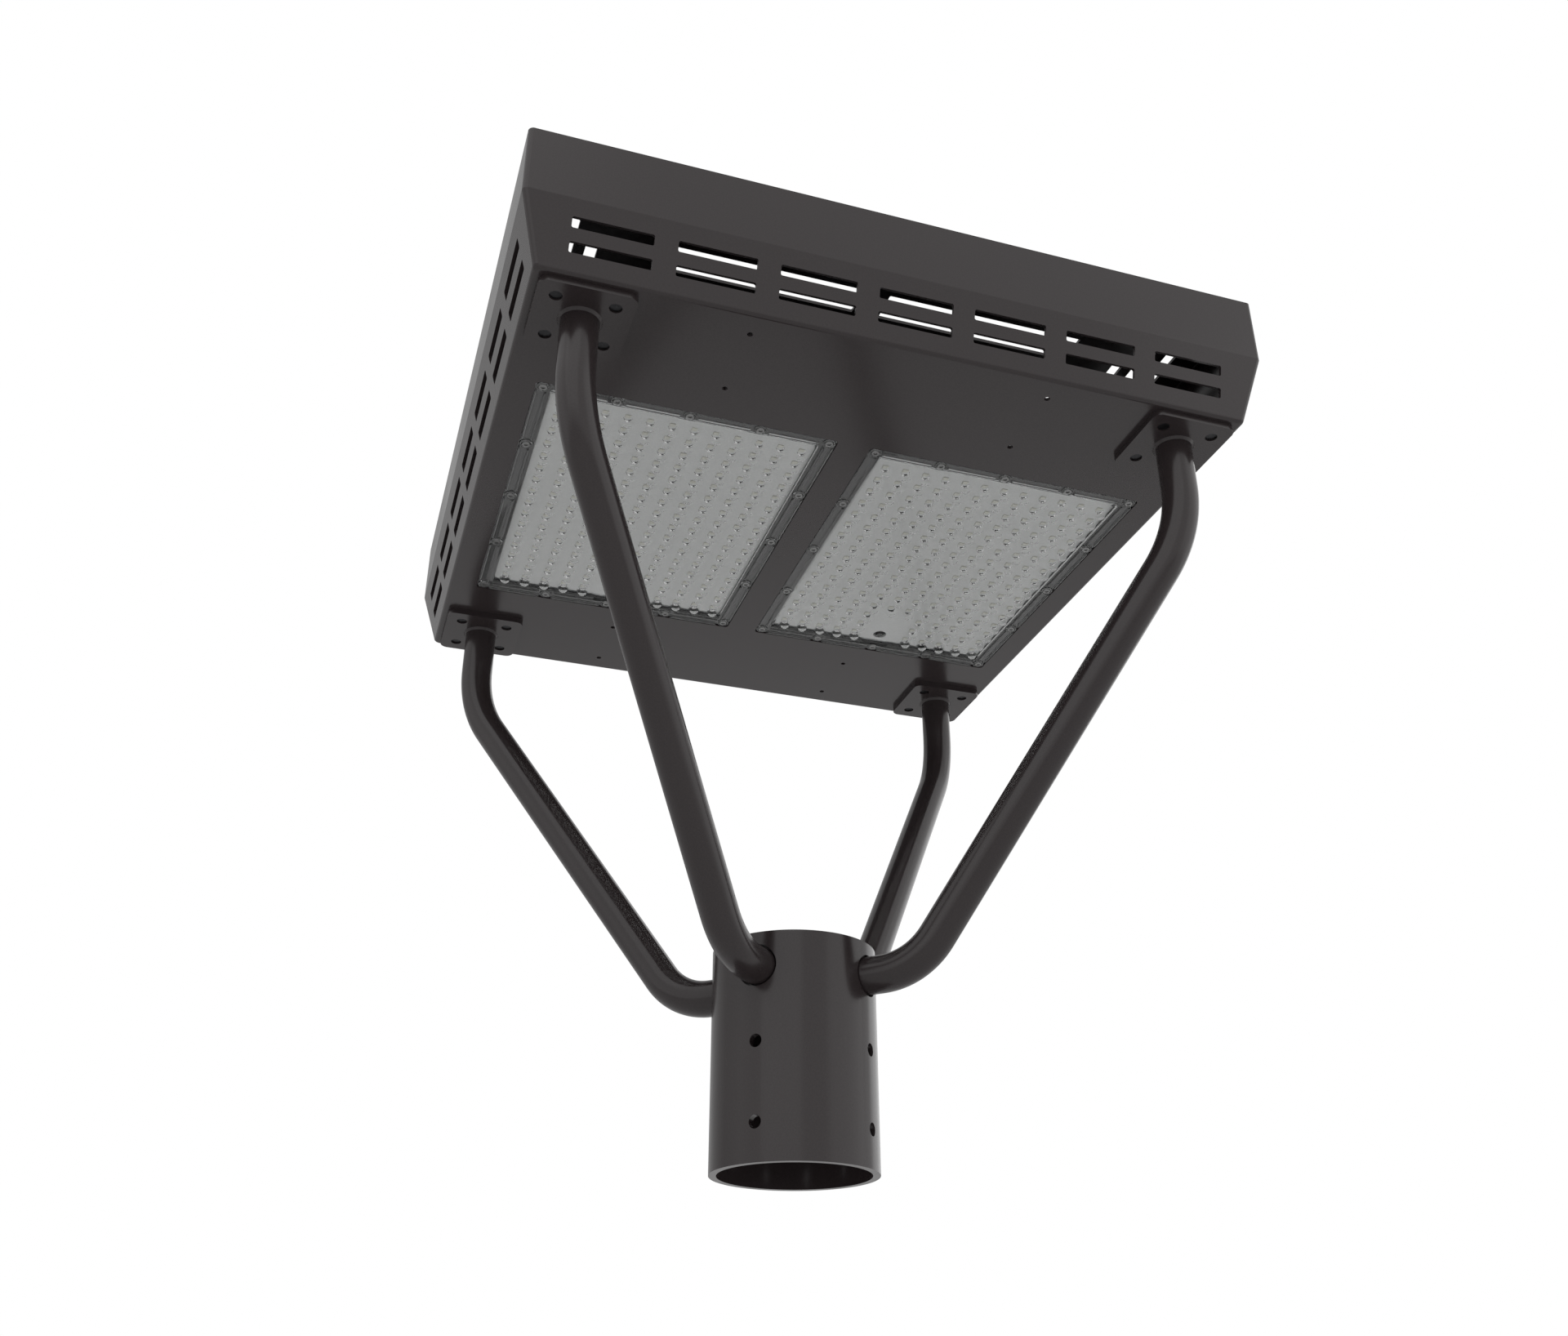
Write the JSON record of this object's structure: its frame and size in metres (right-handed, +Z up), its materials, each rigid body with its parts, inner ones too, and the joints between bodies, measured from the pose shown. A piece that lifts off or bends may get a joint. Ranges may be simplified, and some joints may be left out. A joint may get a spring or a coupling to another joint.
{
  "type": "post top area light",
  "caption": "Square vented light head with clear lens plates underneath, held by bent tube arms over a round sleeve that slips on a post.",
  "frame": {"origin": "centre of the post sleeve's lower end", "axes": "+Z up along the post, +X from the left light module to the right one, -Y the side nearest in the picture"},
  "size_m": [0.4154, 0.4154, 0.4617],
  "materials": {
    "bronze_coat": "smooth semi-gloss dark bronze coat",
    "black_bolt": "black oxide steel",
    "bright_steel": "plain stainless steel",
    "clear_plastic": "clear moulded plastic",
    "black_rubber": "matte foam rubber",
    "white_board": "white solder mask",
    "led_chip": "phosphor yellow",
    "bare_aluminium": "mill finish",
    "driver_case": "bead blasted case",
    "terminal_plastic": "moulded",
    "surge_plastic": "moulded",
    "lead_sleeve": "black sleeving"
  },
  "bodies": {
    "root": {"post_sleeve": "bronze_coat", "arm_hub": "bronze_coat", "arm_front_left": "bronze_coat", "arm_front_right": "bronze_coat", "arm_rear_left": "bronze_coat", "arm_rear_right": "bronze_coat", "flange_front_left": "bronze_coat", "flange_front_right": "bronze_coat", "flange_rear_left": "bronze_coat", "flange_rear_right": "bronze_coat", "flange_bolts": "black_bolt", "housing_shell": "bronze_coat", "top_cover": "bronze_coat", "cover_lugs": "bronze_coat", "weld_studs": "bright_steel", "cover_screws": "bright_steel", "lens_plate_left": "clear_plastic", "lens_plate_right": "clear_plastic", "lens_screws_left": "bright_steel", "lens_screws_right": "bright_steel", "gasket_left": "black_rubber", "gasket_right": "black_rubber", "led_board_left": "white_board", "led_board_right": "white_board", "led_chips_left": "led_chip", "led_chips_right": "led_chip", "heat_sink_left": "bare_aluminium", "heat_sink_right": "bare_aluminium", "inner_nuts": "bright_steel", "driver_tray": "bare_aluminium", "driver_left": "driver_case", "driver_right": "driver_case", "driver_screws": "bright_steel", "terminal_block": "terminal_plastic", "surge_protector": "surge_plastic", "module_lead_left": "lead_sleeve", "module_lead_right": "lead_sleeve"}
  },
  "joints": []
}
